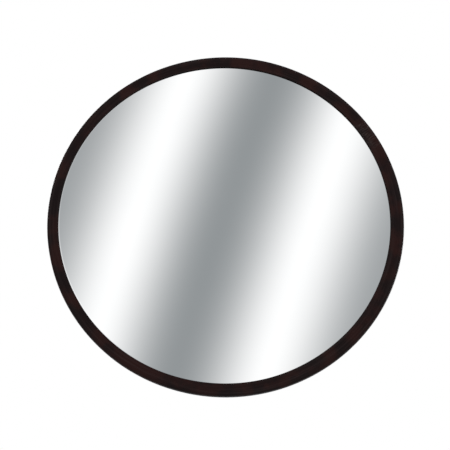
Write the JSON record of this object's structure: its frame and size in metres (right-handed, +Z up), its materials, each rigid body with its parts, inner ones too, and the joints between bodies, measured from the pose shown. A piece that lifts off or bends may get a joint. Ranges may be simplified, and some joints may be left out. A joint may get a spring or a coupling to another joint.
{
  "type": "convex security mirror",
  "caption": "Round convex security mirror: a mirrored acrylic dome with a hardboard back and a dark vinyl edge trim, on a swivelling, tilting wall bracket.",
  "frame": {"origin": "centre of the wall plate's back face, on the wall", "axes": "+Z up; -Y out from the wall, the way the mirror faces; +X to the right of someone who faces the mirror"},
  "size_m": [0.457, 0.2313, 0.457],
  "materials": {
    "mirrored_acrylic": "polished mirror",
    "vinyl_trim": "satin dark brown-black vinyl",
    "hardboard": "smooth tempered hardboard",
    "foam_tape": "closed-cell foam tape",
    "black_powder_coat": "fine-textured black powder coat",
    "zinc_plated_steel": "bright zinc plating",
    "spring_steel": "oiled spring steel",
    "nylon": "natural nylon"
  },
  "bodies": {
    "wall_mount": {"wall_plate": "black_powder_coat", "wall_yoke": "black_powder_coat", "pan_bolt": "zinc_plated_steel", "pan_friction_washers": "nylon", "pan_washer": "zinc_plated_steel"},
    "pan_nut": {"pan_wing_nut": "zinc_plated_steel"},
    "arm": {"swivel_eye": "black_powder_coat", "arm_tube": "black_powder_coat", "arm_pins": "spring_steel", "tilt_fork": "black_powder_coat", "tilt_bolt": "zinc_plated_steel", "tilt_friction_washers": "nylon", "tilt_washer": "zinc_plated_steel"},
    "tilt_nut": {"tilt_wing_nut": "zinc_plated_steel"},
    "tilt_head": {"tilt_tongue": "black_powder_coat", "spin_friction_washer": "nylon", "spin_spring_washer": "spring_steel", "spin_nut": "zinc_plated_steel"},
    "mirror": {"hub_plate": "black_powder_coat", "hub_bolts": "zinc_plated_steel", "hub_spring_washers": "spring_steel", "hub_nuts": "zinc_plated_steel", "doubler_plate": "hardboard", "back_panel": "hardboard", "seal_ring": "foam_tape", "mirror_dome": "mirrored_acrylic", "edge_trim": "vinyl_trim"}
  },
  "joints": [
    {"name": "pan", "type": "hinge", "parent": "wall_mount", "child": "arm", "pos_m": [0, -0.034, 0], "axis": [0, 0, 1], "range_deg": [-30, 30]},
    {"name": "tilt", "type": "hinge", "parent": "arm", "child": "tilt_head", "pos_m": [0, -0.134, 0], "axis": [1, 0, 0], "range_deg": [-30, 30]},
    {"name": "spin", "type": "hinge", "parent": "tilt_head", "child": "mirror", "pos_m": [0, -0.16, 0], "axis": [0, -1, 0], "continuous": true},
    {"name": "pan_wing_nut_turn", "type": "hinge", "parent": "wall_mount", "child": "pan_nut", "pos_m": [0, -0.034, 0.02], "axis": [0, 0, 1], "range_deg": [0, 450]},
    {"name": "tilt_wing_nut_turn", "type": "hinge", "parent": "arm", "child": "tilt_nut", "pos_m": [0.014, -0.134, 0], "axis": [1, 0, 0], "range_deg": [0, 450]}
  ]
}
